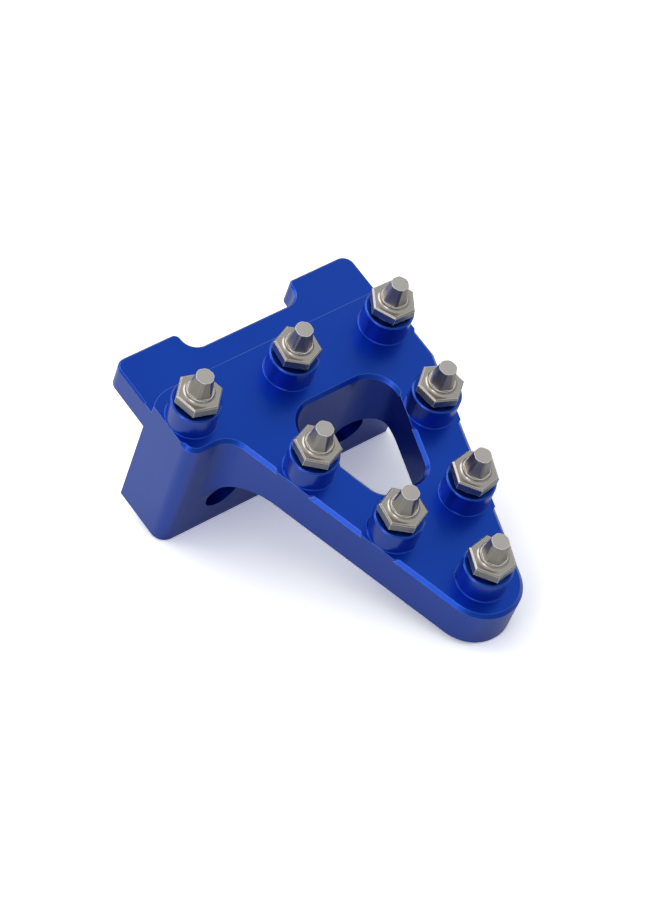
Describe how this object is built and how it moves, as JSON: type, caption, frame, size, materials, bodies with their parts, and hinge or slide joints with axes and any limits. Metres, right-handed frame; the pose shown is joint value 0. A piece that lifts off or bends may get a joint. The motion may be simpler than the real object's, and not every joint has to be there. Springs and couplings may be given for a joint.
{
  "type": "brake pedal tip",
  "caption": "Anodised aluminium foot tip for a motorbike brake pedal: a toe plate with a window and hexagonal grip studs, on a block that bolts to the pedal arm.",
  "frame": {"origin": "midway between the axes of the two fixing holes, on the rear face of the mounting block", "axes": "+X across the tip, +Y along the fixing holes towards the toe, +Z square to the plate and out of the studs"},
  "size_m": [0.0488, 0.0704, 0.0388],
  "materials": {
    "body": "blue anodised, fine machining marks",
    "stud": "turned and milled stainless steel"
  },
  "bodies": {
    "root": {"body": "body", "stud_1": "stud", "stud_2": "stud", "stud_3": "stud", "stud_4": "stud", "stud_5": "stud", "stud_6": "stud", "stud_7": "stud", "stud_8": "stud"}
  },
  "joints": []
}
